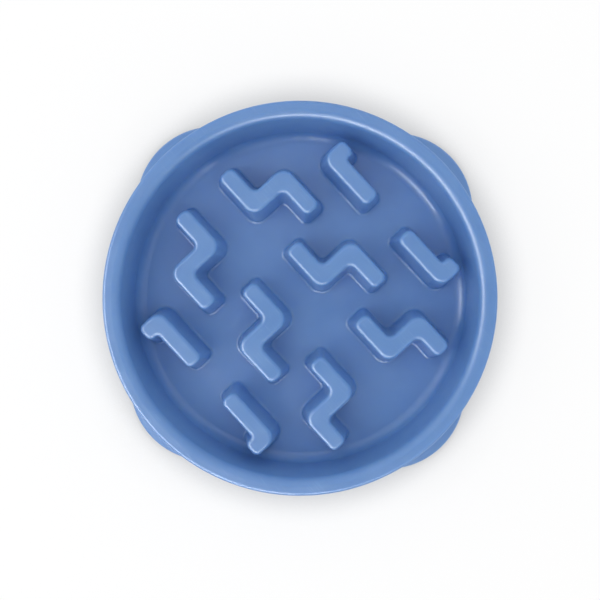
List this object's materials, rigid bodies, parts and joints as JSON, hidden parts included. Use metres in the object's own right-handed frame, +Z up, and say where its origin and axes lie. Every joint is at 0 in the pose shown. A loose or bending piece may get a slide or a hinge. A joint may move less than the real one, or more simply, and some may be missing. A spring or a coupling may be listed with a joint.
{
  "type": "slow feeder bowl",
  "caption": "Round pet bowl with upright zigzag and hooked ridges on its floor that slow eating, a flared skirt with corner lobes, and push-in rubber feet.",
  "frame": {"origin": "on the table, under the bowl's centre line", "axes": "+Z up; X is the mirror line of the ridge pattern, with the shortened zigzags at +X; the lobes and feet lie on the X and Y axes"},
  "size_m": [0.2428, 0.2428, 0.044],
  "materials": {
    "bowl_plastic": "satin moulded, blue",
    "foot_rubber": "matte"
  },
  "bodies": {
    "root": {"bowl_body": "bowl_plastic", "foot_right": "foot_rubber", "foot_rear": "foot_rubber", "foot_left": "foot_rubber", "foot_front": "foot_rubber"}
  },
  "joints": []
}
